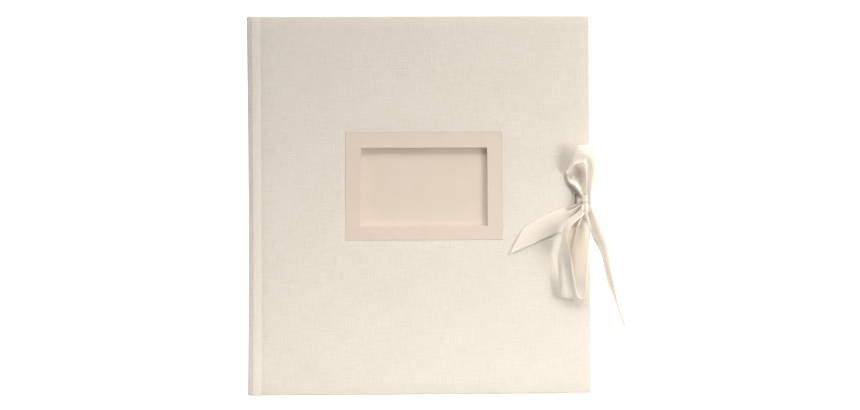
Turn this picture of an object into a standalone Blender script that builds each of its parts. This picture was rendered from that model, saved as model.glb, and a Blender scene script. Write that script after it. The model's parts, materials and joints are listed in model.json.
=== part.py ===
"""A bookbound scrapbook album, closed and tied at its fore-edge with a ribbon bow.

Two cloth-covered boards and a cloth spine hold a fan of mounting leaves, each with a glassine
interleaf. The front cover has a recessed photo window behind a card mat. A ribbon comes out of a
slot by the fore-edge of each cover, and the front one carries the bow.

The album lies on its back cover. +Z is up, +X runs from the spine to the fore-edge, +Y runs from
the tail to the head, and the origin is the centre of the back cover's underside. Dimensions are
written in millimetres, and the model is in metres.
"""

import bmesh
import bpy
from mathutils import Matrix, Vector

MM = 0.001

# Driving dimensions
WIDTH = 290.0  # spine to fore-edge
HEIGHT = 320.0  # head to tail
CLOTH = 0.4  # book cloth
CLEAR = 0.3  # left between neighbouring pieces
BACK_BOARD = 2.5
INNER_BOARD = 1.5  # carries the photo card
OUTER_BOARD = 3.0  # has the photo window
SPINE_BOARD = 2.0
PASTEDOWN = 0.25
LEAF = 0.4
INTERLEAF = 0.15
MOUNTING_LEAVES = 16
LEAF_PITCH = 1.8  # the guards at the spine leave this room for mounted photos
FIRST_LEAF_Z = 5.0
JOINT = 11.5  # cloth between the spine's hinge line and a cover board
TURN_IN = 4.0  # cloth seen inside a cover, around its pastedown
MAT = ((-61.9, 70.4), (-29.6, 61.6))  # card mat round the photo window, x and y
WINDOW = ((-49.2, 57.7), (-17.8, 48.1))  # opening in the mat, x and y
RIBBON = 16.0
SATIN = 0.45
SLOT_X = 133.0  # the ribbon slots' centre line, 12 mm in from the fore-edge
SLOT = 2.2
PAD = 1.0  # how far a cutter runs past the face that it cuts


def above(span, thickness):
    """The next layer up, a clearance above the span."""
    return span[1] + CLEAR, span[1] + CLEAR + thickness


def grow(span, by):
    return span[0] - by, span[1] + by


# Layers, from the table up
BACK_CLOTH_Z = (0.0, CLOTH)
BACK_BOARD_Z = above(BACK_CLOTH_Z, BACK_BOARD)
BACK_PASTE_Z = above(BACK_BOARD_Z, PASTEDOWN)
BACK_LIP_Z = above(BACK_BOARD_Z, CLOTH)
LEAF_Z = [FIRST_LEAF_Z + LEAF_PITCH * i for i in range(MOUNTING_LEAVES + 2)]
FRONT_PASTE_Z = (LEAF_Z[-1] + 1.25, LEAF_Z[-1] + 1.25 + PASTEDOWN)
FRONT_LIP_Z = (FRONT_PASTE_Z[1] - CLOTH, FRONT_PASTE_Z[1])
INNER_BOARD_Z = above(FRONT_PASTE_Z, INNER_BOARD)
OUTER_BOARD_Z = above(INNER_BOARD_Z, OUTER_BOARD)
FRONT_CLOTH_Z = above(OUTER_BOARD_Z, CLOTH)
TOP = FRONT_CLOTH_Z[1]

# Lines across the album
SPINE_X = -WIDTH / 2
FORE_EDGE = WIDTH / 2
HALF = HEIGHT / 2
HINGE_X = SPINE_X + 2.5
HINGE_INSET = 2.5  # of both spine hinges, from the covers' outer faces
BOARD_X = (HINGE_X + JOINT, FORE_EDGE - CLOTH - CLEAR)
BOARD_Y = (-HALF + CLOTH + CLEAR, HALF - CLOTH - CLEAR)
SPINE_BOARD_X = (SPINE_X + CLOTH + CLEAR, SPINE_X + CLOTH + CLEAR + SPINE_BOARD)
GUARD_X = (SPINE_X + 3.7, SPINE_X + 6.7)
LEAF_HINGE_X = GUARD_X[1] + CLEAR
LEAF_X = (LEAF_HINGE_X + 6.0, FORE_EDGE - 4.0)
LEAF_Y = (-HALF + 4.0, HALF - 4.0)
SLOT_SPAN = (SLOT_X - SLOT / 2, SLOT_X + SLOT / 2)
SLOT_Y = (-RIBBON / 2 - CLEAR, RIBBON / 2 + CLEAR)
ANCHOR_X = SLOT_X - 27.0  # where each ribbon is glued down inside its cover
STRAND_X = FORE_EDGE + 0.65  # the rear ribbon, upright in front of the fore-edge

CREAM_CLOTH = ((0.83, 0.77, 0.68), 0.85)
CARD = ((0.80, 0.71, 0.61), 0.75)
GREY_BOARD = ((0.45, 0.42, 0.38), 0.9)
PAPER = ((0.90, 0.87, 0.80), 0.8)
GLASSINE = ((0.93, 0.92, 0.88), 0.35)
IVORY_SATIN = ((0.93, 0.87, 0.77), 0.3)


def clear_scene():
    for old in list(bpy.data.objects):
        bpy.data.objects.remove(old, do_unlink=True)


def collection(name):
    made = bpy.data.collections.new(name)
    bpy.context.scene.collection.children.link(made)
    return made


clear_scene()
PARTS = collection("scrapbook_album")
CUTTERS = collection("cutters")


def pivot(name, place, parent=None):
    """An empty on a joint's axis, which the moving pieces hang on."""
    empty = bpy.data.objects.new(name, None)
    empty.empty_display_size = 10 * MM
    empty.location = Vector(place) * MM
    if parent:
        empty.parent = parent
        empty.location -= Vector(parent["place"]) * MM
    empty["place"] = place
    PARTS.objects.link(empty)
    return empty


def finish(obj, look):
    """The object's own material: colour and roughness."""
    colour, roughness = look
    made = bpy.data.materials.new(obj.name)
    made.use_nodes = True
    shader = made.node_tree.nodes["Principled BSDF"]
    shader.inputs["Base Color"].default_value = (*colour, 1.0)
    shader.inputs["Roughness"].default_value = roughness
    shader.inputs["Metallic"].default_value = 0.0
    obj.data.materials.append(made)


def place(obj, centre, on, into):
    """Put an object at its centre, in a collection, and hang it on its pivot."""
    obj.location = Vector(centre) * MM
    into.objects.link(obj)
    if on:
        obj.parent = on
        obj.location -= Vector(on["place"]) * MM


def cuboid(name, x, y, z):
    """A box mesh between two corners, about its own centre, and that centre."""
    sizes = [(high - low) * MM for low, high in (x, y, z)]
    mesh = bpy.data.meshes.new(name)
    cage = bmesh.new()
    bmesh.ops.create_cube(cage, size=1.0, matrix=Matrix.Diagonal((*sizes, 1.0)))
    cage.to_mesh(mesh)
    cage.free()
    centre = [(low + high) / 2 for low, high in (x, y, z)]
    return bpy.data.objects.new(name, mesh), centre


def block(name, x, y, z, look, on=None):
    obj, centre = cuboid(name, x, y, z)
    finish(obj, look)
    place(obj, centre, on, PARTS)
    return obj


def boolean(obj, tool, x, y, z, operation):
    """Cut a box out of the object, or join one to it."""
    cutter, centre = cuboid(f"{obj.name}_{tool}", x, y, z)
    place(cutter, centre, obj.parent, CUTTERS)
    cutter.hide_render = True
    cutter.display_type = "WIRE"
    step = obj.modifiers.new(tool, "BOOLEAN")
    step.operation = operation
    step.object = cutter


def cut(obj, tool, x, y, z):
    boolean(obj, tool, x, y, z, "DIFFERENCE")


def join(obj, tool, x, y, z):
    boolean(obj, tool, x, y, z, "UNION")


def strip(name, stops, on, soft=True):
    """A ribbon lofted through its stops. Each stop is the centre and the span across it."""
    middle = Vector(stops[len(stops) // 2][0])
    mesh = bpy.data.meshes.new(name)
    cage = bmesh.new()
    rows = []
    for centre, across in stops:
        side = Vector(across) / 2
        rows.append([cage.verts.new((Vector(centre) + s * side - middle) * MM) for s in (-1, 1)])
    for (a, b), (c, d) in zip(rows, rows[1:]):
        cage.faces.new((a, b, d, c))
    cage.to_mesh(mesh)
    cage.free()
    obj = bpy.data.objects.new(name, mesh)
    if soft:
        smooth = obj.modifiers.new("smooth", "SUBSURF")
        smooth.levels = smooth.render_levels = 2
        smooth.boundary_smooth = "PRESERVE_CORNERS"
    satin = obj.modifiers.new("satin", "SOLIDIFY")
    satin.thickness = SATIN * MM
    satin.offset = 0.0
    satin.use_even_offset = True
    finish(obj, IVORY_SATIN)
    place(obj, middle, on, PARTS)
    return obj


def flat(points):
    """Stops of a ribbon that runs in the XZ plane, at its full width along Y."""
    return [((x, 0.0, z), (0.0, RIBBON, 0.0)) for x, z in points]


def cover_cloth(name, skin, lip, on):
    """Cloth round one cover: the outer skin, the edges and the strip turned in behind them."""
    low, high = min(skin + lip), max(skin + lip)
    back = skin < lip
    boards = (skin[1], lip[0]) if back else (lip[1], skin[0])
    past_skin = (skin[1], high + PAD) if back else (low - PAD, skin[0])
    cloth = block(name, (HINGE_X, FORE_EDGE), (-HALF, HALF), (low, high), CREAM_CLOTH, on)
    start = BOARD_X[0] - CLEAR
    inside = FORE_EDGE - CLOTH
    head = HALF - CLOTH
    cut(cloth, "joint", (HINGE_X - PAD, start), (-HALF - PAD, HALF + PAD), past_skin)
    cut(cloth, "boards", (start - PAD, inside), (-head, head), boards)
    page_side = grow(lip, PAD)
    cut(cloth, "page_side", (start - PAD, inside - TURN_IN), (TURN_IN - head, head - TURN_IN), page_side)
    return cloth


def pastedown(name, z, on):
    inner = HALF - CLOTH - TURN_IN - CLEAR
    x = (BOARD_X[0], FORE_EDGE - CLOTH - TURN_IN - CLEAR)
    block(name, x, (-inner, inner), z, PAPER, on)


def back_cover(on):
    cloth = cover_cloth("back_cover_cloth", BACK_CLOTH_Z, BACK_LIP_Z, on)
    channel = (SLOT_SPAN[0], FORE_EDGE + PAD)
    cut(cloth, "ribbon_channel", channel, SLOT_Y, (-PAD, BACK_BOARD_Z[0]))
    board = block("back_cover_board", BOARD_X, BOARD_Y, BACK_BOARD_Z, GREY_BOARD, on)
    cut(board, "slot", SLOT_SPAN, SLOT_Y, grow(BACK_BOARD_Z, PAD))
    rebate = (BACK_BOARD_Z[1] - 1.2, BACK_BOARD_Z[1] + PAD)
    cut(board, "rebate", (ANCHOR_X - PAD, SLOT_X), SLOT_Y, rebate)
    pastedown("back_pastedown", BACK_PASTE_Z, on)
    glued, outside = BACK_BOARD_Z[1] - 0.5, 0.25
    route = [(ANCHOR_X, glued), (SLOT_X, glued), (SLOT_X, outside), (FORE_EDGE + CLEAR, outside)]
    strip("rear_ribbon_anchor", flat(route), on, soft=False)


def rear_ribbon(on):
    """The rear ribbon's free strand, drawn up the fore-edge towards the knot."""
    strip("rear_ribbon", flat([(STRAND_X, 0.6), (STRAND_X, 20.0), (STRAND_X, 40.0)]), on, soft=False)


def spine(on):
    low, high = HINGE_INSET + CLEAR, TOP - HINGE_INSET - CLEAR
    cloth = block("spine_cloth", (SPINE_X, SPINE_BOARD_X[1]), (-HALF, HALF), (low, high), CREAM_CLOTH, on)
    head = HALF - CLOTH
    cut(cloth, "board", (SPINE_X + CLOTH, HINGE_X + PAD), (-head, head), (low - PAD, high + PAD))
    block("spine_board", SPINE_BOARD_X, BOARD_Y, (low + CLEAR, high - CLEAR), GREY_BOARD, on)
    lining_x = (SPINE_BOARD_X[1] + 0.4, SPINE_BOARD_X[1] + 0.7)
    guards = (LEAF_Z[0] - 0.6, LEAF_Z[-1] + 0.8)
    block("spine_lining", lining_x, (-150.0, 150.0), grow(guards, 0.4), PAPER, on)
    block("bound_spine", GUARD_X, LEAF_Y, guards, PAPER, on)
    for name, end in (("head_band", 1), ("tail_band", -1)):
        y = sorted((end * (LEAF_Y[1] + CLEAR), end * (LEAF_Y[1] + 2.3)))
        band = block(name, GUARD_X, y, guards, CREAM_CLOTH, on)
        rounding = band.modifiers.new("rounding", "BEVEL")
        rounding.width = 0.8 * MM
        rounding.segments = 3


def leaf(name, level, on):
    block(name, LEAF_X, LEAF_Y, (level - LEAF / 2, level + LEAF / 2), PAPER, on)


def interleaf(name, level, on):
    sheet = (level + 0.5, level + 0.5 + INTERLEAF)
    block(name, (LEAF_X[0] + 8.0, LEAF_X[1] - 2.0), grow(LEAF_Y, -2.0), sheet, GLASSINE, on)


def leaves(spine_pivot):
    """The flyleaves and the mounting leaves, each on its own hinge at the guards."""
    last = MOUNTING_LEAVES + 1
    for i, level in enumerate(LEAF_Z):
        name = {0: "back_flyleaf", last: "front_flyleaf"}.get(i, f"leaf_{i:02d}")
        on = pivot(f"{name}_pivot", (LEAF_HINGE_X, 0.0, level), spine_pivot)
        leaf(name, level, on)
        if 0 < i < last:
            interleaf(f"interleaf_{i:02d}", level, on)


def front_cover(on):
    cloth = cover_cloth("front_cover_cloth", FRONT_CLOTH_Z, FRONT_LIP_Z, on)
    mat_x, mat_y = (grow(span, CLEAR) for span in MAT)
    cut(cloth, "window", mat_x, mat_y, grow(FRONT_CLOTH_Z, PAD))
    cut(cloth, "slot", SLOT_SPAN, SLOT_Y, grow(FRONT_CLOTH_Z, PAD))
    board = block("front_cover_board", BOARD_X, BOARD_Y, OUTER_BOARD_Z, GREY_BOARD, on)
    opening_x, opening_y = (grow(span, CLOTH + CLEAR) for span in WINDOW)
    cut(board, "window", opening_x, opening_y, grow(OUTER_BOARD_Z, PAD))
    cut(board, "slot", SLOT_SPAN, SLOT_Y, grow(OUTER_BOARD_Z, PAD))
    rebate = (OUTER_BOARD_Z[0] - PAD, OUTER_BOARD_Z[0] + 1.2)
    cut(board, "rebate", (ANCHOR_X - PAD, SLOT_X), SLOT_Y, rebate)
    block("front_inner_board", BOARD_X, BOARD_Y, INNER_BOARD_Z, GREY_BOARD, on)
    pastedown("front_pastedown", FRONT_PASTE_Z, on)
    photo_window(on)


def photo_window(on):
    """The card mat, folded down the walls of the window, and the photo card at its bottom."""
    face = (FRONT_CLOTH_Z[0], TOP - 0.1)
    mat = block("window_mat", MAT[0], MAT[1], face, CARD, on)
    wall_x, wall_y = (grow(span, CLOTH) for span in WINDOW)
    join(mat, "walls", wall_x, wall_y, (OUTER_BOARD_Z[0] + CLEAR, face[1]))
    cut(mat, "window", WINDOW[0], WINDOW[1], (INNER_BOARD_Z[1], TOP + PAD))
    card_x, card_y = (grow(span, -0.5) for span in WINDOW)
    block("photo_card", card_x, card_y, above(INNER_BOARD_Z, 0.4), CARD, on)


# The bow, centre by centre, with the span across the ribbon at each: it is gathered at the knot,
# where the spans are short, and turned on edge where they stand along Z.
TOP_LOOP = [
    ((138.5, 10.6, 46.5), (9.0, 2.0, 0.0)),
    ((134.0, 18.0, 46.0), (13.0, -4.0, 2.0)),
    ((131.5, 30.0, 46.5), (14.5, 4.0, 1.0)),
    ((136.0, 44.0, 47.0), (13.0, 3.0, 1.0)),
    ((141.5, 49.5, 49.5), (14.0, -3.0, 1.0)),
    ((147.0, 42.0, 52.0), (13.0, -6.0, 1.0)),
    ((147.5, 30.0, 52.5), (14.0, -5.0, 1.0)),
    ((145.5, 19.0, 51.5), (10.0, -3.0, 1.0)),
    ((143.5, 10.6, 50.5), (7.0, 0.0, 1.0)),
]
BOTTOM_LOOP = [
    ((135.5, -4.0, 46.8), (6.0, 1.0, 2.0)),
    ((129.5, -14.0, 46.5), (5.0, 4.0, 5.0)),
    ((124.5, -32.0, 45.5), (10.0, 3.0, 4.0)),
    ((125.5, -52.0, 44.3), (15.0, 0.0, 1.0)),
    ((127.5, -72.0, 44.3), (16.0, 0.0, 0.0)),
    ((129.5, -79.5, 47.0), (16.0, 0.0, 0.0)),
    ((132.0, -72.0, 50.0), (16.0, 0.0, 0.0)),
    ((134.5, -52.0, 51.0), (15.0, 0.0, 0.0)),
    ((137.0, -32.0, 51.0), (11.0, 0.0, -1.0)),
    ((139.0, -16.0, 50.5), (8.0, 0.0, -1.0)),
    ((140.5, -4.4, 50.0), (7.0, 0.0, 0.0)),
]
LEFT_TAIL = [
    ((133.5, -6.6, 44.6), (1.5, -5.0, 0.0)),
    ((125.0, -9.5, 44.0), (2.5, -11.0, 0.0)),
    ((112.0, -14.5, 43.6), (5.0, -15.0, 0.0)),
    ((98.0, -20.0, 43.6), (6.0, -15.0, 0.0)),
    ((84.0, -29.0, 43.6), (14.0, -24.0, 0.0)),
]
RIGHT_TAIL = [
    ((146.5, -4.6, 48.5), (6.0, 4.0, 0.0)),
    ((150.5, -16.0, 48.5), (10.0, 2.0, -2.0)),
    ((153.0, -28.0, 45.5), (8.0, 3.0, -7.0)),
    ((156.5, -42.0, 39.0), (4.0, 1.5, -13.0)),
    ((160.0, -62.0, 29.0), (3.5, -3.0, -14.0)),
    ((166.0, -83.0, 17.5), (3.5, -6.0, -13.0)),
    ((171.0, -98.0, 9.5), (3.0, -8.0, -13.0)),
]
KNOT = ((135.9, 147.1), (-2.8, 9.8), (43.9, 52.9))


def bow(on):
    """The front ribbon, out of its slot to the knot, and the bow that rides on the cover."""
    glued = OUTER_BOARD_Z[0] + 0.6
    route = [(ANCHOR_X, glued), (SLOT_X, glued), (SLOT_X, TOP + 0.6), (KNOT[0][0] - 0.5, TOP + 1.8)]
    strip("front_ribbon", flat(route), on, soft=False)
    knot, centre = cuboid("bow_knot", *KNOT)
    finish(knot, IVORY_SATIN)
    place(knot, centre, on, PARTS)
    rounding = knot.modifiers.new("rounding", "SUBSURF")
    rounding.levels = rounding.render_levels = 2
    strip("bow_top_loop", TOP_LOOP, on)
    strip("bow_bottom_loop", BOTTOM_LOOP, on)
    strip("bow_left_tail", LEFT_TAIL, on)
    strip("bow_right_tail", RIGHT_TAIL, on)


def build():
    album = pivot("album", (0.0, 0.0, 0.0))
    back_cover(album)
    rear_ribbon(pivot("rear_ribbon_pivot", (STRAND_X, 0.0, 0.5), album))
    spine_pivot = pivot("spine_pivot", (HINGE_X, 0.0, HINGE_INSET), album)
    spine(spine_pivot)
    leaves(spine_pivot)
    cover_pivot = pivot("front_cover_pivot", (HINGE_X, 0.0, TOP - HINGE_INSET), spine_pivot)
    front_cover(cover_pivot)
    bow(cover_pivot)


build()
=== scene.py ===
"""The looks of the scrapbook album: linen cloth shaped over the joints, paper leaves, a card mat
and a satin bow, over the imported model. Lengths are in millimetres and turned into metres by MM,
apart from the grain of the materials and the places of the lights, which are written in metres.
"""

import json
import math

import bmesh
import bpy
import numpy as np
from mathutils import Matrix, Vector


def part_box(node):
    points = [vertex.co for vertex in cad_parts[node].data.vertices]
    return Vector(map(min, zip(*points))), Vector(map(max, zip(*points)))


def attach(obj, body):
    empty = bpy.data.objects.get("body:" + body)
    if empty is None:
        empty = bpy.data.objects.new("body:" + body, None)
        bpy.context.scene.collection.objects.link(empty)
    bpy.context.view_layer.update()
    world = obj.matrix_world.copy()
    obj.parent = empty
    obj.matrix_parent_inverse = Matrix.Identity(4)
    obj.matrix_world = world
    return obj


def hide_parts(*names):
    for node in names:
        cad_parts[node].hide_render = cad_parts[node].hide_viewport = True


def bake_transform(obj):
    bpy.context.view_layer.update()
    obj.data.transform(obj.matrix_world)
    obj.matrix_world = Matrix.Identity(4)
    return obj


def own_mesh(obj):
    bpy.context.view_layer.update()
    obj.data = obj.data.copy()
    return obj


MM = 0.001
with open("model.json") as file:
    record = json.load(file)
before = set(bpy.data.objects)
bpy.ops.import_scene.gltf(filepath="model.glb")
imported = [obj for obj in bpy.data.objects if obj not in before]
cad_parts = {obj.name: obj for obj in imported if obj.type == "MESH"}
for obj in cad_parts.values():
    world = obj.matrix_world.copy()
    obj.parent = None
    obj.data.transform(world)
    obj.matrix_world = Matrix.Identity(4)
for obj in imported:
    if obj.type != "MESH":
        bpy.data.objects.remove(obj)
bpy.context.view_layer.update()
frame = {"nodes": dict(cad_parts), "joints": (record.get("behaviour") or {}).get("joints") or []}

# What the frame says, in millimetres
CLOTH_LOW, CLOTH_HIGH = (np.array(corner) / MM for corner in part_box("front_cover_cloth"))
SPINE_LOW = np.array(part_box("spine_cloth")[0]) / MM
MAT_LOW, MAT_HIGH = (np.array(corner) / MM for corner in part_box("window_mat"))
CARD_LOW, CARD_HIGH = (np.array(corner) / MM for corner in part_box("photo_card"))
BOARD_LOW = np.array(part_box("front_cover_board")[0]) / MM
TOP = CLOTH_HIGH[2]
FORE_EDGE = CLOTH_HIGH[0]
HALF = CLOTH_HIGH[1]
SPINE_X = SPINE_LOW[0]
HINGE_X = CLOTH_LOW[0]
COVER_THICKNESS = CLOTH_HIGH[2] - CLOTH_LOW[2]
BACK_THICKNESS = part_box("back_cover_cloth")[1][2] / MM

# Cloth
CLOTH = 0.35
EDGE_ROUND = 1.1  # cloth over a board's edge
SPINE_ROUND = 2.5  # cloth over the spine's corners
SPINE_BOW = 1.2  # how far the spine curves in at mid-height
SPINE_BOW_REACH = 14.0  # the curve dies away over this much of the joint
GROOVE_X = -132.9
GROOVE, GROOVE_WIDTH = 0.22, 1.6  # depth and width of the groove beside the board
JOINT_RISE = 0.6  # the cloth stands up a little over the spine's corner
JOINT_PEAK = 2.0  # from the hinge line to the top of that rise
TURN_IN = 4.4
MAT_GAP = 0.15  # between the cloth's cut edge and the mat
EMBOSS_AWAY = 1.8  # pressed line, outside the mat
EMBOSS, EMBOSS_WIDTH = 0.12, 0.42  # that line's depth and width
MAT_PRESS, SLOT_PRESS, PRESS_WIDTH = 0.14, 0.3, 0.7  # dips at the mat's edge and at the ribbon's slot
MAT_GRID = (-2.7, -2.25, -1.8, -1.35, -0.9, -0.4)  # grid lines outside the mat, for the pressed line

# Window, leaves and guards
WINDOW_SIDE = 0.5  # the photo card is this much smaller than the window on every side
WINDOW_FOLD = 0.45  # rounding of the window's edge
WINDOW_CORNER, MAT_CORNER = 0.35, 0.6
CORNER_POINTS = 5
PHOTO_CARD, LEAF, SPINE_BOARD = 0.3, 0.4, 1.0  # thicknesses
LEAF_HINGE = 4.5  # from the spine's hinge line to the leaves' hinges
LEAF_WAVE = 0.22  # how far a loose leaf waves up and down
GUARD_STEP = 0.25  # half a leaf's slot, and how unevenly the guards are cut

# Ribbon
SLOT_X, SLOT, RIBBON = 133.0, 2.2, 16.0
SLOT_EASE = 0.3  # the slot is this much longer than the ribbon is wide, at each end
SATIN, KNOT_SATIN = 0.28, 0.3
KNOT_LENGTH = 25.0  # of the band round the knot
KNOT_HALF = (4.7, 6.0, 4.0)
ROUTE_STEP = 1.1  # between cross sections
RIBBON_POINTS = 17  # across a ribbon
CROWN = 0.25  # how much a ribbon arches across its width
DEEPEST_PLEAT = 1.5


# ---------------------------------------------------------------- materials


def add(tree, kind, **settings):
    """A node with its plain settings, and inputs given by name as values or as other sockets."""
    made = tree.nodes.new(kind)
    inputs = settings.pop("inputs", {})
    for key, value in settings.items():
        setattr(made, key, value)
    for key, value in inputs.items():
        if isinstance(value, bpy.types.NodeSocket):
            tree.links.new(value, made.inputs[key])
        else:
            made.inputs[key].default_value = value
    return made


def start_material(name, **constants):
    made = bpy.data.materials.new(name)
    made.use_nodes = True
    tree = made.node_tree
    shader = tree.nodes["Principled BSDF"]
    for key, value in constants.items():
        shader.inputs[key].default_value = value
    return made, tree, shader


def surface_metres(tree, rigid):
    """Coordinates in metres: the piece's own on rigid pieces, unrolled ones on bending pieces."""
    source = add(tree, "ShaderNodeTexCoord")
    return source.outputs["Object" if rigid else "UV"]


def noise(tree, where, size, detail=3.0, roughness=0.55):
    """Noise whose grain is about size (x, y, z) metres."""
    scale = tuple(1.0 / s for s in size)
    stretched = add(tree, "ShaderNodeMapping", inputs={"Vector": where, "Scale": scale})
    inputs = {"Vector": stretched.outputs[0], "Scale": 1.0, "Detail": detail, "Roughness": roughness}
    return add(tree, "ShaderNodeTexNoise", inputs=inputs).outputs["Fac"]


def maths(tree, operation, a, b=0.5):
    return add(tree, "ShaderNodeMath", operation=operation, inputs={0: a, 1: b}).outputs[0]


def ramp(tree, factor, stops):
    made = add(tree, "ShaderNodeValToRGB", inputs={"Fac": factor})
    while len(made.color_ramp.elements) < len(stops):
        made.color_ramp.elements.new(0.5)
    for element, (position, colour) in zip(made.color_ramp.elements, stops):
        element.position = position
        element.color = (*colour, 1.0)
    return made.outputs["Color"]


def blend_colours(tree, kind, factor, a, b):
    made = add(tree, "ShaderNodeMix", data_type="RGBA", blend_type=kind)
    for socket, value in ((made.inputs["Factor"], factor), (made.inputs[6], a), (made.inputs[7], b)):
        if isinstance(value, bpy.types.NodeSocket):
            tree.links.new(value, socket)
        else:
            socket.default_value = value if socket.type == "VALUE" else (*value, 1.0)
    return made.outputs[2]


def bump(tree, shader, height, distance, strength=1.0):
    inputs = {"Height": height, "Distance": distance, "Strength": strength}
    made = add(tree, "ShaderNodeBump", inputs=inputs)
    tree.links.new(made.outputs[0], shader.inputs["Normal"])


def threads(tree, where, axis, pitch, wander):
    """Height of parallel threads that lie side by side along one axis, a pitch apart."""
    split = add(tree, "ShaderNodeSeparateXYZ", inputs={"Vector": where})
    place = maths(tree, "ADD", split.outputs[axis], maths(tree, "MULTIPLY", wander, pitch * 1.2))
    return maths(tree, "SINE", maths(tree, "MULTIPLY", place, math.tau / pitch))


def book_cloth():
    """Cream linen: a plain weave of uneven threads, with slubs and a slightly mottled dye."""
    made, tree, shader = start_material("linen_book_cloth", Roughness=0.88)
    shader.inputs["Sheen Weight"].default_value = 0.18
    shader.inputs["Sheen Roughness"].default_value = 0.5
    shader.inputs["Specular IOR Level"].default_value = 0.25
    where = surface_metres(tree, rigid=False)
    wander = noise(tree, where, (0.004, 0.004, 0.004))
    across = threads(tree, where, 0, 0.00062, wander)
    along = threads(tree, where, 1, 0.00056, wander)
    weave = maths(tree, "MULTIPLY", across, along)
    slubs_x = noise(tree, where, (0.016, 0.0007, 1.0), detail=4.0)
    slubs_y = noise(tree, where, (0.0007, 0.013, 1.0), detail=4.0)
    slubs = maths(tree, "ADD", slubs_x, slubs_y)
    mottle = noise(tree, where, (0.035, 0.03, 1.0), detail=5.0)
    thread_colour = ramp(tree, maths(tree, "MULTIPLY", slubs, 0.5), [
        (0.34, (0.795, 0.717, 0.631)),
        (0.50, (0.855, 0.783, 0.705)),
        (0.64, (0.885, 0.817, 0.746)),
    ])
    tint = ramp(tree, mottle, [(0.35, (0.985, 0.982, 0.975)), (0.65, (1.0, 1.0, 1.0))])
    # painted shade: the weave's low points are darkened, as if shaded by the threads beside them
    valley_shade = ramp(tree, weave, [(0.0, (0.93, 0.925, 0.915)), (0.7, (1.0, 1.0, 1.0))])
    colour = blend_colours(tree, "MULTIPLY", 1.0, thread_colour, tint)
    colour = blend_colours(tree, "MULTIPLY", 0.8, colour, valley_shade)
    tree.links.new(colour, shader.inputs["Base Color"])
    height = maths(tree, "ADD", maths(tree, "MULTIPLY", weave, 0.35), slubs)
    bump(tree, shader, height, 0.00022, 0.7)
    return made


def card_stock(name, light, dark, rigid=True, grain=0.0006):
    """Uncoated card or paper: fine fibres, a soft cloudiness and the odd fleck."""
    made, tree, shader = start_material(name, Roughness=0.7)
    shader.inputs["Specular IOR Level"].default_value = 0.3
    where = surface_metres(tree, rigid)
    cloud = noise(tree, where, (0.02, 0.024, 0.02), detail=4.0)
    fibres = noise(tree, where, (grain * 5, grain, grain), detail=4.0)
    flecks = noise(tree, where, (grain * 2, grain * 2, grain * 2), detail=1.0)
    body = ramp(tree, cloud, [(0.3, dark), (0.7, light)])
    specks = ramp(tree, flecks, [(0.22, (0.86, 0.82, 0.76)), (0.30, (1.0, 1.0, 1.0))])
    hairs = ramp(tree, fibres, [(0.3, (0.965, 0.96, 0.95)), (0.6, (1.0, 1.0, 1.0))])
    colour = blend_colours(tree, "MULTIPLY", 0.6, body, specks)
    colour = blend_colours(tree, "MULTIPLY", 1.0, colour, hairs)
    tree.links.new(colour, shader.inputs["Base Color"])
    bump(tree, shader, fibres, 0.00005, 0.5)
    return made


def glassine():
    """Thin translucent paper with a spider-web emboss."""
    made, tree, shader = start_material("glassine", Roughness=0.35, Alpha=1.0)
    shader.inputs["Transmission Weight"].default_value = 0.25
    where = surface_metres(tree, rigid=True)
    cells = add(tree, "ShaderNodeTexVoronoi", feature="DISTANCE_TO_EDGE",
                inputs={"Vector": where, "Scale": 320.0})
    cloud = noise(tree, where, (0.012, 0.012, 0.012))
    colour = ramp(tree, cloud, [(0.3, (0.83, 0.82, 0.77)), (0.7, (0.92, 0.91, 0.87))])
    tree.links.new(colour, shader.inputs["Base Color"])
    web = ramp(tree, cells.outputs["Distance"], [(0.0, (0.0, 0.0, 0.0)), (0.12, (1.0, 1.0, 1.0))])
    bump(tree, shader, web, 0.00006, 0.6)
    return made


def satin(name, through):
    """Ivory satin ribbon: fine weft ribs across it, floats that glint along it, and a firm selvedge whose
    ridge is real and whose lighter colour is a painted highlight along both edges.

    through is how much of the light passes through the ribbon.
    """
    made, tree, shader = start_material(name, Roughness=0.34)
    shader.inputs["Anisotropic"].default_value = 0.55
    shader.inputs["Sheen Weight"].default_value = 0.35
    shader.inputs["Sheen Roughness"].default_value = 0.3
    shader.inputs["Specular IOR Level"].default_value = 0.4
    shader.inputs["Subsurface Weight"].default_value = through
    shader.inputs["Subsurface Radius"].default_value = (1.0, 0.97, 0.92)
    shader.inputs["Subsurface Scale"].default_value = 0.0014
    where = surface_metres(tree, rigid=False)
    wander = noise(tree, where, (0.003, 0.003, 1.0))
    ribs = threads(tree, where, 1, 0.00042, wander)
    floats = noise(tree, where, (0.00022, 0.006, 1.0), detail=3.0)
    split = add(tree, "ShaderNodeSeparateXYZ", inputs={"Vector": where})
    from_middle = maths(tree, "ABSOLUTE", split.outputs[0])
    selvedge_and_highlight = maths(tree, "GREATER_THAN", from_middle, (RIBBON / 2 - 0.7) * MM)
    streaks = ramp(tree, floats, [(0.3, (0.852, 0.752, 0.652)), (0.7, (0.928, 0.834, 0.738))])
    # painted highlight: the band along both edges is coloured lighter than the ribbon, for the light its
    # edges catch; the ridge it adds to the bump below is real
    edge = blend_colours(tree, "MIX", selvedge_and_highlight, streaks, (0.912, 0.820, 0.724))
    tree.links.new(edge, shader.inputs["Base Color"])
    shine = add(tree, "ShaderNodeMapRange", inputs={"Value": floats, "To Min": 0.27, "To Max": 0.42})
    tree.links.new(shine.outputs[0], shader.inputs["Roughness"])
    height = maths(tree, "ADD", maths(tree, "MULTIPLY", ribs, 0.25), maths(tree, "MULTIPLY", selvedge_and_highlight, 0.9))
    bump(tree, shader, height, 0.00008, 0.6)
    return made


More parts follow.
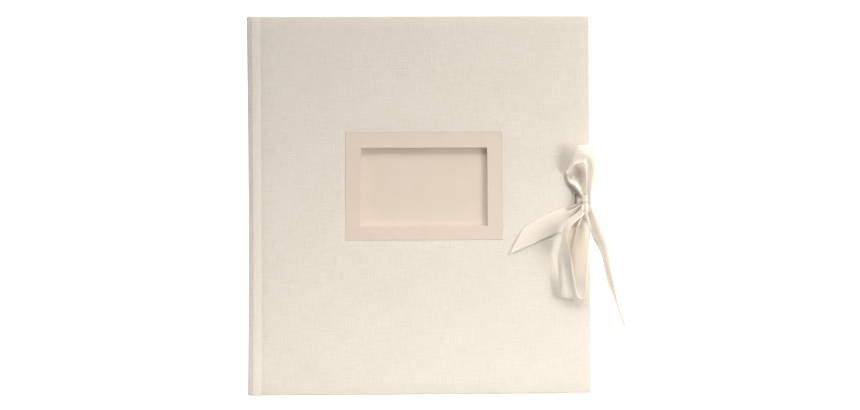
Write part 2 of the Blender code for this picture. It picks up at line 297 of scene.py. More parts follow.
def grey_board():
    made, tree, shader = start_material("binders_board", Roughness=0.92)
    where = surface_metres(tree, rigid=True)
    pulp = noise(tree, where, (0.0015, 0.0015, 0.0004), detail=5.0, roughness=0.7)
    colour = ramp(tree, pulp, [(0.3, (0.30, 0.28, 0.25)), (0.7, (0.50, 0.47, 0.43))])
    tree.links.new(colour, shader.inputs["Base Color"])
    bump(tree, shader, pulp, 0.0001, 0.6)
    return made


def striped_band():
    """Head and tail bands: cream and tan thread wound over a cord."""
    made, tree, shader = start_material("wound_band", Roughness=0.6)
    where = surface_metres(tree, rigid=True)
    wander = noise(tree, where, (0.002, 0.002, 0.002))
    turns = threads(tree, where, 2, 0.0011, wander)
    colour = ramp(tree, turns, [(0.42, (0.50, 0.34, 0.20)), (0.58, (0.88, 0.81, 0.69))])
    tree.links.new(colour, shader.inputs["Base Color"])
    bump(tree, shader, turns, 0.00015, 0.8)
    return made


# ---------------------------------------------------------------- mesh tools


def mesh_object(name, points, faces, material, coordinates=None):
    """A smooth mesh from points in millimetres, with unrolled coordinates in metres as its UV map."""
    mesh = bpy.data.meshes.new(name)
    mesh.from_pydata([tuple(float(c) * MM for c in p) for p in points], [], faces)
    if coordinates is not None:
        layer = mesh.uv_layers.new(name="unrolled")
        for loop in mesh.loops:
            layer.data[loop.index].uv = [c * MM for c in coordinates[loop.vertex_index]]
    mesh.materials.append(material)
    mesh.validate()
    obj = bpy.data.objects.new(name, mesh)
    bpy.context.scene.collection.objects.link(obj)
    mesh.shade_smooth()
    return obj


def grid_faces(count, wide):
    """The faces of a grid of count rows, each of them wide points long."""
    return [(i * wide + j, (i + 1) * wide + j, (i + 1) * wide + j + 1, i * wide + j + 1)
            for i in range(count - 1) for j in range(wide - 1)]


def sharpen(obj, degrees):
    obj.data.set_sharp_from_angle(angle=math.radians(degrees))


def apply_modifiers(obj):
    depsgraph = bpy.context.evaluated_depsgraph_get()
    mesh = bpy.data.meshes.new_from_object(obj.evaluated_get(depsgraph))
    obj.modifiers.clear()
    obj.data = mesh


def thicken(obj, thickness, offset=-1.0):
    step = obj.modifiers.new("thickness", "SOLIDIFY")
    step.thickness = thickness * MM
    step.offset = offset
    apply_modifiers(obj)


def face_outward(obj, up):
    """Turn all faces over if the sheet as a whole looks the wrong way."""
    cage = bmesh.new()
    cage.from_mesh(obj.data)
    area = sum((f.normal * f.calc_area() for f in cage.faces), Vector())
    if area.dot(Vector(up)) < 0:
        bmesh.ops.reverse_faces(cage, faces=cage.faces)
    cage.to_mesh(obj.data)
    cage.free()


def paint(node, material):
    """Give a CAD node a finished material."""
    obj = frame["nodes"][node]
    if not obj.material_slots:
        obj.data.materials.append(material)
    for slot in obj.material_slots:
        slot.material = material


def merged(*groups):
    """Grid lines from several groups, without any that nearly coincide."""
    values = sorted(v for group in groups for v in group)
    kept = [values[0]]
    for value in values[1:]:
        if value - kept[-1] > 0.12:
            kept.append(value)
    return kept


# ---------------------------------------------------------------- book cloth


def outside(x, y, low, high):
    """Distance outside a rectangle."""
    return math.hypot(max(low[0] - x, 0, x - high[0]), max(low[1] - y, 0, y - high[1]))


def pressed(x, y):
    """How far the front cloth is pressed down: the line round the mat and the mat's own edge."""
    away = outside(x, y, MAT_LOW, MAT_HIGH)
    line = EMBOSS * math.exp(-(((away - EMBOSS_AWAY) / EMBOSS_WIDTH) ** 2))
    edge = MAT_PRESS * math.exp(-((away / PRESS_WIDTH) ** 2))
    slot = SLOT_PRESS * math.exp(-((max(abs(x - SLOT_X) - SLOT / 2, 0) / PRESS_WIDTH) ** 2))
    return line + edge + (slot if abs(y) < RIBBON / 2 + 0.8 else 0.0)


def joint_height(x):
    """Height of the cloth over the joint: up from the corner, down towards the board, and a groove."""
    peak, foot = HINGE_X + JOINT_PEAK, GROOVE_X - 1.5
    up = min(max((x - HINGE_X) / JOINT_PEAK, 0.0), 1.0)
    down = min(max((x - peak) / (foot - peak), 0.0), 1.0)
    rise = JOINT_RISE * up * up * (3 - 2 * up) * (1 - down)
    return TOP + rise - GROOVE * math.exp(-(((x - GROOVE_X) / GROOVE_WIDTH) ** 2))


def spine_profile():
    """Half the spine's cloth, the corner, the joint and its groove, as (x, z, inward, turn-in depth)."""
    rows = []
    for i in range(9):
        z = TOP / 2 + (TOP / 2 - SPINE_ROUND) * i / 9
        rows.append((SPINE_X, z, (1.0, 0.0), 2.4))
    for i in range(7):
        angle = math.pi - math.pi / 2 * i / 6
        c, s = math.cos(angle), math.sin(angle)
        x, z = HINGE_X + SPINE_ROUND * c, TOP - SPINE_ROUND + SPINE_ROUND * s
        rows.append((x, z, (-c, -s), 1.5))
    steps = 18
    for i in range(1, steps):
        x = HINGE_X + (BOARD_LOW[0] - HINGE_X) * i / steps
        rows.append((x, joint_height(x), (0.0, -1.0), 1.5))
    return rows


def cover_rows(thickness, extra):
    """The whole cloth section from the middle of the spine to the fore-edge's rounding."""
    rows = spine_profile()
    flat = merged(np.linspace(BOARD_LOW[0], FORE_EDGE - EDGE_ROUND, 26), extra)
    for x in flat:
        rows.append((x, joint_height(x), (0.0, -1.0), thickness))
    return rows


def wrap_rings(depth):
    """The cloth's way round a cover's edge, as (out, in, length so far)."""
    ring = []
    for angle in (22.5, 45.0, 67.5, 90.0):
        t = math.radians(angle)
        ring.append((EDGE_ROUND * math.sin(t), EDGE_ROUND * (1 - math.cos(t)), EDGE_ROUND * t))
    fold = min(0.5, (depth - EDGE_ROUND) / 2)
    down = depth - fold
    length = EDGE_ROUND * math.pi / 2
    for share in (0.5, 1.0):
        ring.append((EDGE_ROUND, EDGE_ROUND + (down - EDGE_ROUND) * share,
                     length + (down - EDGE_ROUND) * share))
    length += down - EDGE_ROUND
    ring.append((EDGE_ROUND - fold * 0.3, depth - fold * 0.3, length + fold * 0.7))
    ring.append((EDGE_ROUND - fold, depth, length + fold * 1.5))
    ring.append((EDGE_ROUND - TURN_IN, depth, length + TURN_IN))
    return ring


def cloth_lines(thickness, holes, press):
    """The cloth's section from spine to fore-edge, and its grid lines from tail to head."""
    hole_x = [x for low, high in holes for x in (low[0], high[0])]
    hole_y = [y for low, high in holes for y in (low[1], high[1])]
    fine_x, fine_y = [], []
    if press:
        fine_x = [MAT_LOW[0] + d for d in MAT_GRID] + [MAT_HIGH[0] - d for d in MAT_GRID]
        fine_y = [MAT_LOW[1] + d for d in MAT_GRID] + [MAT_HIGH[1] - d for d in MAT_GRID]
    rows = cover_rows(thickness, merged(hole_x, fine_x))
    flat_y = HALF - EDGE_ROUND
    return rows, merged(np.linspace(-flat_y, flat_y, 31), hole_y, fine_y)


def cloth_points(rows, columns, press, sign):
    """The grid's points and their unrolled places."""
    run, last = 0.0, rows[0]
    points, coordinates = [], []
    for row in rows:
        x, z, _, _ = row
        run += math.hypot(x - last[0], z - last[1])
        last = row
        for y in columns:
            bowed = SPINE_BOW * (1 - (y / HALF) ** 2) * max(0.0, 1 - (x - SPINE_X) / SPINE_BOW_REACH)
            down = pressed(x, y) if press and x > BOARD_LOW[0] else 0.0
            points.append((x + bowed, y, z - down))
            coordinates.append((sign * run, y))
    return points, coordinates


def cloth_faces(rows, columns, holes):
    """The grid's faces, apart from those in the holes."""
    faces = []
    for k, (a, b, c, d) in enumerate(grid_faces(len(rows), len(columns))):
        i, j = divmod(k, len(columns) - 1)
        x, y = (rows[i][0] + rows[i + 1][0]) / 2, (columns[j] + columns[j + 1]) / 2
        open_here = any(outside(x, y, low, high) == 0 for low, high in holes)
        if rows[i][0] < BOARD_LOW[0] or not open_here:
            faces.append((a, d, c, b))
    return faces


def cover_cloth(name, thickness, holes, material, is_front):
    """Cloth over half the spine, one joint and one cover, turned in round three edges.

    It is drawn as the front cover's. The back cover's is the same, turned upside down and not pressed.
    """
    sign = 1 if is_front else -1
    rows, columns = cloth_lines(thickness, holes, is_front)
    points, coordinates = cloth_points(rows, columns, is_front, sign)
    faces = cloth_faces(rows, columns, holes)
    wrap_edges(rows, len(columns), points, coordinates, faces, sign)
    if not is_front:
        points = [(x, y, TOP - z) for x, y, z in points]
    obj = mesh_object(name, points, faces, material, coordinates)
    bmesh_clean(obj)
    face_outward(obj, (0, 0, sign))
    thicken(obj, CLOTH)
    sharpen(obj, 60)
    return obj


def wrap_edges(rows, wide, points, coordinates, faces, sign):
    """Carry the grid's head, fore-edge and tail on round the boards."""
    count = len(rows)
    rim = [(i, wide - 1, (0, 1)) for i in range(count - 1)]
    rim += [(count - 1, wide - 1, (1, 1))]
    rim += [(count - 1, j, (1, 0)) for j in range(wide - 2, 0, -1)]
    rim += [(count - 1, 0, (1, -1))]
    rim += [(i, 0, (0, -1)) for i in range(count - 2, -1, -1)]
    previous = [i * wide + j for i, j, _ in rim]
    steps = len(wrap_rings(3.0))
    for k in range(steps):
        current = []
        for i, j, (out_x, out_y) in rim:
            x, y, z = points[i * wide + j]
            inward, depth = rows[i][2], rows[i][3]
            out, into, length = wrap_rings(depth)[k]
            if out_x and out_y and out > 0.3:
                out *= 0.72
            current.append(len(points))
            points.append((x + out_x * out + inward[0] * into, y + out_y * out, z + inward[1] * into))
            u, v = coordinates[i * wide + j]
            coordinates.append((u + sign * out_x * length, v + out_y * length))
        for a, b, c, d in zip(previous, previous[1:], current[1:], current):
            faces.append((a, b, c, d))
        previous = current


def bmesh_clean(obj):
    """Drop points that no face uses, and make all faces agree."""
    cage = bmesh.new()
    cage.from_mesh(obj.data)
    loose = [v for v in cage.verts if not v.link_faces]
    bmesh.ops.delete(cage, geom=loose, context="VERTS")
    bmesh.ops.recalc_face_normals(cage, faces=cage.faces)
    cage.to_mesh(obj.data)
    cage.free()


def cloth_pieces(material):
    """The front and back cloth, each shaped over its own joint. They meet half-way up the spine."""
    mat_hole = (MAT_LOW[:2] - MAT_GAP, MAT_HIGH[:2] + MAT_GAP)
    slot_low = np.array([SLOT_X - SLOT / 2, -RIBBON / 2 - SLOT_EASE])
    slot_hole = (slot_low, slot_low + [SLOT, RIBBON + 2 * SLOT_EASE])
    channel = (slot_low, np.array([FORE_EDGE, RIBBON / 2 + SLOT_EASE]))
    holes = [mat_hole, slot_hole]
    front = cover_cloth("front_and_spine_cloth", COVER_THICKNESS, holes, material, True)
    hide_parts("front_cover_cloth", "spine_cloth")
    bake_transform(front)
    back = cover_cloth("back_and_spine_cloth", BACK_THICKNESS, [channel], material, False)
    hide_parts("back_cover_cloth")
    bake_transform(back)


def spine_board(material):
    """The spine's thin board, which curves in with its cloth."""
    low, high = (np.array(corner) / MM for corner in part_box("spine_board"))
    ys = np.linspace(low[1], high[1], 25)
    points = []
    for y in ys:
        x = SPINE_X + CLOTH + 0.1 + SPINE_BOW * (1 - (y / HALF) ** 2)
        points += [(x, y, low[2]), (x, y, high[2])]
    faces = [(2 * j, 2 * j + 1, 2 * j + 3, 2 * j + 2) for j in range(len(ys) - 1)]
    obj = mesh_object("curved_spine_board", points, faces, material)
    face_outward(obj, (-1, 0, 0))
    thicken(obj, SPINE_BOARD)
    sharpen(obj, 40)
    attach(obj, "spine")
    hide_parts("spine_board")


# ---------------------------------------------------------------- photo window


def rectangle_ring(low, high, radius, z):
    """Points round a rectangle with rounded corners, anticlockwise."""
    ring = []
    corners = [(high[0], high[1], 0), (low[0], high[1], 90), (low[0], low[1], 180), (high[0], low[1], 270)]
    for x, y, turn in corners:
        cx = x - radius if x == high[0] else x + radius
        cy = y - radius if y == high[1] else y + radius
        for i in range(CORNER_POINTS):
            angle = math.radians(turn + 90 * i / (CORNER_POINTS - 1))
            ring.append((cx + radius * math.cos(angle), cy + radius * math.sin(angle), z))
    return ring


def mat_rings():
    """Rings from the mat's cut edge, over its face and down the window's walls to the photo card."""
    window_low, window_high = CARD_LOW[:2] - WINDOW_SIDE, CARD_HIGH[:2] + WINDOW_SIDE
    face = MAT_HIGH[2]
    rings = []
    for inward, down in ((0.0, 0.3), (0.0, 0.08), (0.08, 0.0), (0.4, 0.0)):
        rings.append(rectangle_ring(MAT_LOW[:2] + inward, MAT_HIGH[:2] - inward, MAT_CORNER, face - down))
    lead = WINDOW_FOLD + 0.3
    rings.append(rectangle_ring(window_low - lead, window_high + lead, 0.9, face))
    steps = 6
    for i in range(steps + 1):
        angle = math.pi / 2 * i / steps
        out, down = WINDOW_FOLD * (1 - math.sin(angle)), WINDOW_FOLD * (1 - math.cos(angle))
        rings.append(rectangle_ring(window_low - out, window_high + out, WINDOW_CORNER + out, face - down))
    rings.append(rectangle_ring(window_low, window_high, WINDOW_CORNER, CARD_HIGH[2]))
    return rings


def window_mat(material):
    """The card mat: a cut outer edge, a flat face and a rounded fold down the window's walls."""
    rings = mat_rings()
    size = len(rings[0])
    faces = []
    for k in range(len(rings) - 1):
        for i in range(size):
            n = (i + 1) % size
            faces.append((k * size + i, k * size + n, (k + 1) * size + n, (k + 1) * size + i))
    obj = mesh_object("card_mat", [p for ring in rings for p in ring], faces, material)
    face_outward(obj, (0, 0, 1))
    sharpen(obj, 50)
    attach(obj, "front_cover")
    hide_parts("window_mat")


def recess_floor(material):
    """The photo card at the bottom of the window, very slightly domed."""
    low, high = CARD_LOW[:2] - WINDOW_SIDE + 0.02, CARD_HIGH[:2] + WINDOW_SIDE - 0.02
    xs, ys = np.linspace(low[0], high[0], 25), np.linspace(low[1], high[1], 17)
    points = []
    for x in xs:
        for y in ys:
            u, v = (x - low[0]) / (high[0] - low[0]), (y - low[1]) / (high[1] - low[1])
            points.append((x, y, CARD_HIGH[2] - 0.05 + 0.8 * u * (1 - u) * v * (1 - v)))
    obj = mesh_object("recess_card", points, grid_faces(len(xs), len(ys)), material)
    thicken(obj, PHOTO_CARD)
    sharpen(obj, 50)
    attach(obj, "front_cover")
    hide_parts("photo_card")


# ---------------------------------------------------------------- leaves


def leaf_sheet(name, node, level, material, seed):
    """A leaf from its guard to its fore-edge, with the slight waves of loose card."""
    low, high = (np.array(corner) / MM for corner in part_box(node))
    hinge = HINGE_X + LEAF_HINGE
    xs = merged(np.linspace(hinge, low[0] + 4, 9), np.linspace(low[0] + 12, high[0], 12))
    ys = np.linspace(low[1], high[1], 13)
    phase = seed * 1.7
    points, coordinates = [], []
    for x in xs:
        loose = min(1.0, max(0.0, (x - low[0]) / 80.0))
        for y in ys:
            wave = LEAF_WAVE * loose * math.sin(x / 47.0 + phase) * math.cos(y / 61.0 + 2.1 * phase)
            points.append((x, y, level + LEAF / 2 + wave))
            coordinates.append((x, y))
    obj = mesh_object(name, points, grid_faces(len(xs), len(ys)), material, coordinates)
    thicken(obj, LEAF)
    sharpen(obj, 40)
    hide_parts(node)
    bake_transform(obj)


def leaves(material):
    """Every leaf and flyleaf, at its own hinge."""
    joints = [j for j in frame["joints"] if j["name"].startswith(("leaf_", "back_flyleaf", "front_flyleaf"))]
    for seed, joint in enumerate(joints):
        node = joint["name"].removesuffix("_hinge")
        leaf_sheet(f"{node}_card", node, joint["pos_m"][2] / MM, material, seed)


def guard_gaps(low, high):
    """Bottom and top of every guard strip between two heights."""
    levels = sorted(j["pos_m"][2] / MM for j in frame["joints"] if "leaf" in j["name"])
    gaps = [(low, levels[0] - GUARD_STEP)]
    gaps += [(a + GUARD_STEP, b - GUARD_STEP) for a, b in zip(levels, levels[1:])]
    return gaps + [(levels[-1] + GUARD_STEP, high)]


def guard_strips(material):
    """The stack of guards at the spine: a thick strip between every two leaves."""
    low, high = (np.array(corner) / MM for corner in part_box("bound_spine"))
    cage = bmesh.new()
    for k, (bottom, top) in enumerate(guard_gaps(low[2], high[2])):
        front = high[0] - GUARD_STEP * (k % 2)
        size = Vector((front - low[0], high[1] - low[1], top - bottom))
        middle = Vector(((front + low[0]) / 2, 0.0, (top + bottom) / 2))
        for vertex in bmesh.ops.create_cube(cage, size=1.0)["verts"]:
            vertex.co = Vector(c * s for c, s in zip(vertex.co, size)) + middle
    mesh = bpy.data.meshes.new("guard_strips")
    bmesh.ops.scale(cage, vec=(MM, MM, MM), verts=cage.verts)
    cage.to_mesh(mesh)
    cage.free()
    mesh.materials.append(material)
    obj = bpy.data.objects.new("guard_strips", mesh)
    bpy.context.scene.collection.objects.link(obj)
    step = obj.modifiers.new("edges", "BEVEL")
    step.width = 0.12 * MM
    step.segments = 2
    apply_modifiers(obj)
    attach(obj, "spine")
    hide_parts("bound_spine")


# ---------------------------------------------------------------- ribbon

# Each stop is the ribbon's centre and the span across it. A short span is gathered into pleats.
TOP_LOOP = [
    ((140.7, 4.1, 47.4), (5.3, 1.1, 0.0)),
    ((137.8, 12.7, 46.8), (10.1, 2.1, 0.0)),
    ((133.8, 20.4, 45.4), (15.9, 2.5, 0.4)),
    ((132.8, 26.8, 44.4), (17.0, 5.1, 0.6)),
    ((130.4, 31.5, 45.0), (13.4, 9.9, 0.0)),
    ((128.1, 35.8, 48.6), (6.6, 15.0, 0.0)),
    ((130.6, 40.4, 51.8), (2.3, 15.8, 0.6)),
    ((135.7, 42.0, 53.0), (0.4, 15.4, 0.6)),
    ((141.8, 41.4, 53.2), (6.4, 14.4, 0.0)),
    ((145.9, 35.1, 52.6), (11.9, 8.0, 0.2)),
    ((146.6, 28.2, 52.0), (12.5, 1.5, 0.8)),
    ((145.5, 18.2, 51.4), (9.8, 0.2, 0.6)),
    ((144.1, 9.3, 51.6), (7.2, 0.0, 0.0)),
    ((143.4, 2.4, 52.0), (6.1, -0.4, -0.8)),
    ((142.7, -3.3, 51.0), (4.9, -0.6, -0.8)),
    ((142.4, -7.3, 48.6), (3.0, -0.6, -0.6)),
]
BOTTOM_LOOP = [
    ((140.8, -0.1, 47.2), (4.9, 0.0, 0.0)),
    ((139.1, -9.6, 46.6), (4.9, 0.0, 0.6)),
    ((138.0, -14.9, 46.4), (7.0, 0.0, 2.0)),
    ((137.7, -21.2, 46.8), (10.4, 0.0, 5.0)),
    ((137.1, -28.6, 47.6), (12.5, 0.0, 7.0)),
    ((135.7, -42.2, 48.4), (14.0, 0.0, 8.4)),
    ((133.6, -63.3, 48.2), (14.2, 0.0, 8.0)),
    ((132.5, -73.9, 46.8), (15.3, 0.2, 5.0)),
    ((130.3, -79.4, 46.4), (16.7, 0.6, 1.6)),
    ((126.3, -77.2, 48.2), (14.4, 0.4, 1.6)),
    ((124.1, -63.2, 51.4), (12.7, 0.0, 4.0)),
    ((122.5, -50.6, 53.0), (11.4, 0.0, 7.0)),
    ((122.1, -42.2, 53.6), (9.3, 0.0, 11.0)),
    ((121.8, -33.8, 54.0), (5.3, 0.0, 14.0)),
    ((122.1, -27.5, 54.0), (3.2, 0.0, 15.0)),
    ((124.2, -18.6, 53.0), (3.6, -1.5, 14.6)),
    ((129.9, -12.3, 52.0), (2.8, -4.2, 13.0)),
    ((135.9, -8.2, 51.2), (1.9, -4.4, 8.0)),
    ((140.9, -3.1, 49.8), (1.1, -3.8, 3.0)),
]
LEFT_TAIL = [
    ((137.2, -0.1, 46.6), (2.1, -4.2, 0.0)),
    ((130.6, -5.6, 45.4), (4.2, -8.9, -0.4)),
    ((122.9, -11.3, 44.0), (5.3, -16.7, 0.0)),
    ((106.4, -19.7, 43.2), (7.0, -16.2, 0.0)),
    ((92.6, -26.0, 43.2), (-1.1, -19.0, 0.1)),
    ((81.6, -31.1, 43.5), (-13.2, -22.8, 0.4)),
]
RIGHT_TAIL = [
    ((143.1, -0.2, 49.0), (4.2, 2.1, 0.0)),
    ((145.6, -8.6, 49.8), (9.1, 3.6, 1.0)),
    ((148.9, -18.6, 48.6), (11.9, 1.1, 2.4)),
    ((152.5, -29.6, 46.0), (10.4, 1.1, 5.6)),
    ((156.3, -39.7, 42.0), (7.0, 0.0, 7.6)),
    ((158.4, -48.7, 38.4), (5.1, 0.0, 9.2)),
    ((160.4, -58.4, 34.0), (4.7, -0.4, 11.4)),
    ((162.9, -68.1, 29.0), (4.0, -0.8, 13.6)),
    ((166.8, -79.5, 23.0), (2.5, -1.5, 15.2)),
    ((170.4, -88.7, 18.0), (1.9, -1.9, 15.6)),
    ((174.0, -97.5, 13.0), (1.5, -1.7, 15.6)),
    ((176.6, -104.7, 9.4), (1.1, -1.1, 15.4)),
]
KNOT_FOLD = [
    ((140.2, 1.0, 51.0), (4.6, 0.0, 0.0)),
    ((139.6, -3.4, 53.0), (5.8, 0.4, -1.0)),
    ((139.2, -8.2, 52.2), (5.6, 0.6, -1.6)),
    ((139.4, -10.6, 49.8), (4.8, 0.4, -1.6)),
    ((140.0, -7.0, 48.4), (4.4, 0.2, -1.0)),
]
SLOT_RIBBON = [
    ((106.0, 0.0, 39.8), (0.0, 16.0, 0.0)),
    ((124.0, 0.0, 39.8), (0.0, 16.0, 0.0)),
    ((131.8, 0.0, 39.85), (0.0, 16.0, 0.0)),
    ((133.5, 0.0, 41.0), (0.0, 16.0, 0.0)),
    ((133.75, 0.0, 43.2), (0.0, 15.9, 0.0)),
    ((134.8, 0.9, 44.9), (0.4, 14.0, 0.0)),
    ((136.6, 2.0, 46.0), (0.6, 11.0, 0.0)),
    ((138.6, 2.9, 46.6), (0.6, 8.6, 0.0)),
]
REAR_STRAND = [
    ((145.62, 0.0, 0.7), (0.0, 16.0, 0.0)),
    ((145.75, 0.0, 12.0), (0.0, 16.0, 0.0)),
    ((145.8, 0.1, 26.0), (0.0, 15.6, 0.0)),
    ((145.9, 0.8, 36.0), (0.0, 13.0, 0.0)),
    ((146.1, 2.2, 42.4), (0.0, 9.0, 0.0)),
]


def smooth_route(stops):
    """Catmull-Rom through the stops, as rows of (centre, span), about a step apart."""
    values = np.array([list(c) + list(a) for c, a in stops])
    padded = np.vstack([2 * values[0] - values[1], values, 2 * values[-1] - values[-2]])
    rows = []
    for i in range(1, len(padded) - 2):
        p0, p1, p2, p3 = padded[i - 1 : i + 3]
        count = max(2, int(np.linalg.norm(p2[:3] - p1[:3]) / ROUTE_STEP))
        for t in np.arange(count) / count:
            rows.append(0.5 * (2 * p1 + (p2 - p0) * t + (2 * p0 - 5 * p1 + 4 * p2 - p3) * t * t
                               + (3 * p1 - p0 - 3 * p2 + p3) * t ** 3))
    rows.append(values[-1])
    return np.array(rows)


def ribbon(name, stops, material, pleats=2.0, phase=0.0, wide=RIBBON, least=0.0, gather=0.75):
    """A satin ribbon along its route. Where the span is less than the ribbon's width it pleats."""
    rows = smooth_route(stops)
    centres, spans = rows[:, :3], rows[:, 3:]
    along = np.gradient(centres, axis=0)
    along /= np.linalg.norm(along, axis=1)[:, None]
    lengths = np.concatenate([[0], np.cumsum(np.linalg.norm(np.diff(centres, axis=0), axis=1))])
    points, coordinates = [], []
    for centre, span, direction, length in zip(centres, spans, along, lengths):
        width = np.linalg.norm(span)
        normal = np.cross(direction, span / width)
        normal /= max(np.linalg.norm(normal), 1e-6)
        spare = max(wide / width - 1, 0.0)
        pleat = max(width * math.sqrt(spare) / (math.pi * pleats) * gather, least)
        depth = min(pleat, DEEPEST_PLEAT)
        for t in np.linspace(-0.5, 0.5, RIBBON_POINTS):
            turn = math.tau * pleats * t + phase + length * 0.01
            fold = depth * (math.sin(turn) + 0.18 * math.cos(2 * turn))
            arch = CROWN * (1 - 4 * t * t)
            points.append(centre + span * t + normal * (fold + arch))
            coordinates.append((wide * t, length))
    faces = [(a, d, c, b) for a, b, c, d in grid_faces(len(rows), RIBBON_POINTS)]
    obj = mesh_object(name, points, faces, material, coordinates)
    thicken(obj, SATIN, offset=0.0)
    obj["cut_size"] = (wide, float(lengths[-1]))
    return obj


def knot(material):
    """The band of ribbon pulled tight round the bow's middle, creased along its way round."""
    low, high = (np.array(corner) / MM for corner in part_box("bow_knot"))
    middle = (low + high) / 2 + np.array([0.1, 0.0, 0.2])
    half_x, half_y, half_z = KNOT_HALF
    around, along = 40, 25
    points, coordinates = [], []
    for j in range(along):
        t = 2 * j / (along - 1) - 1
        waist = 1 - 0.34 * abs(t) ** 3.5
        for i in range(around):
            angle = math.tau * i / around
            c, s = math.cos(angle), math.sin(angle)
            crease = 0.04 * math.sin(6.5 * t + 1.2 * s) + 0.02 * math.sin(12 * t + 1.3 + 1.6 * c)
            lean = 1.7 * math.cos(angle + 0.6)
            size = waist * (1 + crease)
            points.append(middle + np.array([half_x * size * c, half_y * t * 0.95 + lean, half_z * size * s]))
            coordinates.append((RIBBON * t / 2, half_x * angle))
    faces = [(j * around + i, (j + 1) * around + i, (j + 1) * around + (i + 1) % around,
              j * around + (i + 1) % around) for j in range(along - 1) for i in range(around)]
    obj = mesh_object("knot_band", points, faces, material, coordinates)
    bmesh_clean(obj)
    thicken(obj, KNOT_SATIN)
    obj["cut_size"] = (RIBBON, KNOT_LENGTH)
    return obj


def bow(laid, free):
    """The bow's knot, loops and tails, the ribbon up from its slot and the fold under the knot."""
    tie = knot(laid)
    top = ribbon("top_loop", TOP_LOOP, free, pleats=1.0, least=0.25)
    bottom = ribbon("bottom_loop", BOTTOM_LOOP, free, pleats=1.5, gather=0.25)
    left = ribbon("left_tail", LEFT_TAIL, laid, phase=1.2)
    right = ribbon("right_tail", RIGHT_TAIL, free, pleats=1.0)
    lead = ribbon("slot_ribbon", SLOT_RIBBON, laid, pleats=2.5)
    fold = ribbon("knot_fold", KNOT_FOLD, laid, pleats=1.0, wide=10.0)
    pieces = [
        (tie, "bow_knot", "gathered", "front_ribbon"),
        (top, "bow_top_loop", "folded", "bow_knot"),
        (bottom, "bow_bottom_loop", "folded", "front_cover_cloth"),
        (left, "bow_left_tail", "laid", "front_cover_cloth"),
        (right, "bow_right_tail", "draped", "bow_knot"),
        (lead, "front_ribbon", "gathered", "front_cover_board"),
        (fold, None, "folded", "bow_knot"),
    ]
    for piece, node, held, rests_on in pieces:
        if node:
            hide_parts(node)
        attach(piece, "front_cover")
        if piece is not lead:
            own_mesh(piece)


def rear_strand(material):
    """The rear ribbon's free end, up the fore-edge to the knot."""
    strand = ribbon("rear_strand_ribbon", REAR_STRAND, material)
    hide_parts("rear_ribbon")
    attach(strand, "rear_strand")


# ---------------------------------------------------------------- studio

VIEW_X = 9.3  # the view is centred a little to the fore-edge side
CAMERA_AWAY = 1715.0
LENS = 85.0
LEAN_X, LEAN_Y = math.radians(1.4), math.radians(0.6)
ROLL = math.radians(-0.27)
WORLD_LIGHT = 0.065
FLOOR_GLOW = 0.62
FLOOR_HALF, FLOOR_LEVEL = 3000, -0.3


def camera():
    data = bpy.data.cameras.new("camera")
    data.lens = LENS
    data.sensor_width = 36.0
    data.clip_start, data.clip_end = 0.05, 20.0
    obj = bpy.data.objects.new("camera", data)
    aim = Vector((VIEW_X, 0.0, TOP)) * MM
    away = Vector((-math.sin(LEAN_X), -math.sin(LEAN_Y), 1.0)).normalized()
    obj.location = aim + away * CAMERA_AWAY * MM
    up = (Vector((0.0, 1.0, 0.0)) - away * away.y).normalized()
    look = Matrix((up.cross(away), up, away)).transposed().to_4x4()
    obj.rotation_euler = (look @ Matrix.Rotation(ROLL, 4, "Z")).to_euler()
    bpy.context.scene.collection.objects.link(obj)
    bpy.context.scene.camera = obj


def softbox(name, place, size, power, colour=(1.0, 1.0, 1.0), aim=(0.0, 0.0, 0.04), spread=180):
    """A rectangular light. Places and sizes are in metres, the power in watts, the spread in degrees."""
    data = bpy.data.lights.new(name, "AREA")
    data.shape = "RECTANGLE"
    data.size, data.size_y = size
    data.energy = power
    data.color = colour
    data.spread = math.radians(spread)
    obj = bpy.data.objects.new(name, data)
    obj.location = place
    obj.rotation_euler = (Vector(aim) - Vector(place)).to_track_quat("-Z", "Y").to_euler()
    obj.visible_camera = False
    bpy.context.scene.collection.objects.link(obj)


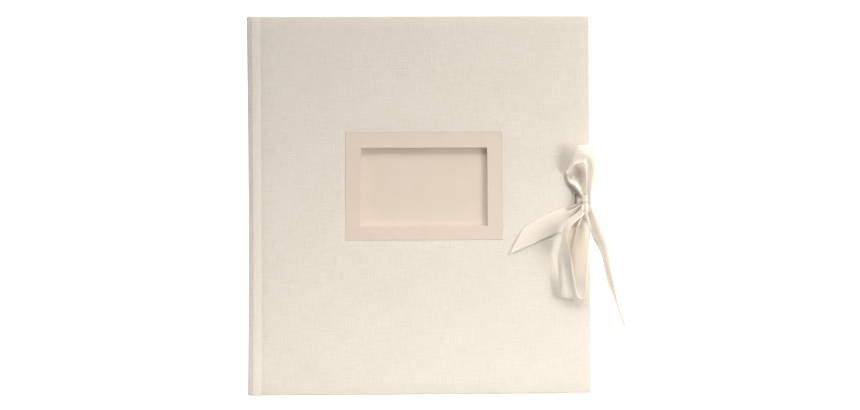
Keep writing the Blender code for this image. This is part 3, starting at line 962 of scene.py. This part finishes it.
def studio():
    world = bpy.data.worlds.new("studio")
    bpy.context.scene.world = world
    world.use_nodes = True
    background = world.node_tree.nodes["Background"]
    background.inputs["Color"].default_value = (1.0, 0.99, 0.97, 1.0)
    background.inputs["Strength"].default_value = WORLD_LIGHT
    softbox("head_side", (-0.2, 5.7, 2.85), (5.6, 2.6), 410.0, (1.0, 0.99, 0.97))
    softbox("fore_edge_side", (0.9, 0.05, 0.6), (0.5, 0.4), 7.9, (1.0, 0.975, 0.94))
    softbox("spine_side", (-3.2, -0.3, 1.8), (1.4, 1.2), 4.8)
    softbox("overhead", (-0.02, -0.42, 1.0), (0.6, 0.3), 1.2, (0.985, 1.0, 0.968),
            aim=(-0.02, -0.42, 0.0), spread=72)
    floor()


def floor():
    """A pale sweep, bright enough to stay white round the album."""
    made, tree, shader = start_material("white_sweep", Roughness=0.9)
    where = surface_metres(tree, rigid=True)
    cloud = noise(tree, where, (0.2, 0.2, 0.2))
    colour = ramp(tree, cloud, [(0.3, (0.97, 0.97, 0.965)), (0.7, (0.985, 0.985, 0.98))])
    tree.links.new(colour, shader.inputs["Base Color"])
    shader.inputs["Emission Color"].default_value = (1.0, 1.0, 1.0, 1.0)
    shader.inputs["Emission Strength"].default_value = FLOOR_GLOW
    corners = ((-1, -1), (1, -1), (1, 1), (-1, 1))
    points = [(x * FLOOR_HALF, y * FLOOR_HALF, FLOOR_LEVEL) for x, y in corners]
    mesh_object("sweep", points, [(0, 1, 2, 3)], made)


def main():
    cream = book_cloth()
    paper = card_stock("leaf_card", (0.900, 0.870, 0.800), (0.860, 0.825, 0.750), rigid=False)
    lining = card_stock("lining_paper", (0.880, 0.850, 0.780), (0.840, 0.805, 0.730))
    mat = card_stock("mat_card", (0.745, 0.626, 0.533), (0.722, 0.603, 0.511), grain=0.0004)
    laid = satin("ivory_satin_laid", 0.1)  # against the album, or in layers, it passes little light
    free = satin("ivory_satin_free", 0.45)
    cloth_pieces(cream)
    window_mat(mat)
    recess_floor(mat)
    leaves(paper)
    guard_strips(lining)
    bow(laid, free)
    rear_strand(free)
    board, film, band = grey_board(), glassine(), striped_band()
    spine_board(board)
    for node in frame["nodes"]:
        if node.startswith("interleaf"):
            paint(node, film)
        elif node.endswith("board"):
            paint(node, board)
        elif node.endswith(("pastedown", "lining")):
            paint(node, lining)
        elif node.endswith("_band"):
            paint(node, band)
    paint("rear_ribbon_anchor", laid)
    bpy.context.scene.view_settings.view_transform = "Standard"
    camera()
    studio()


main()
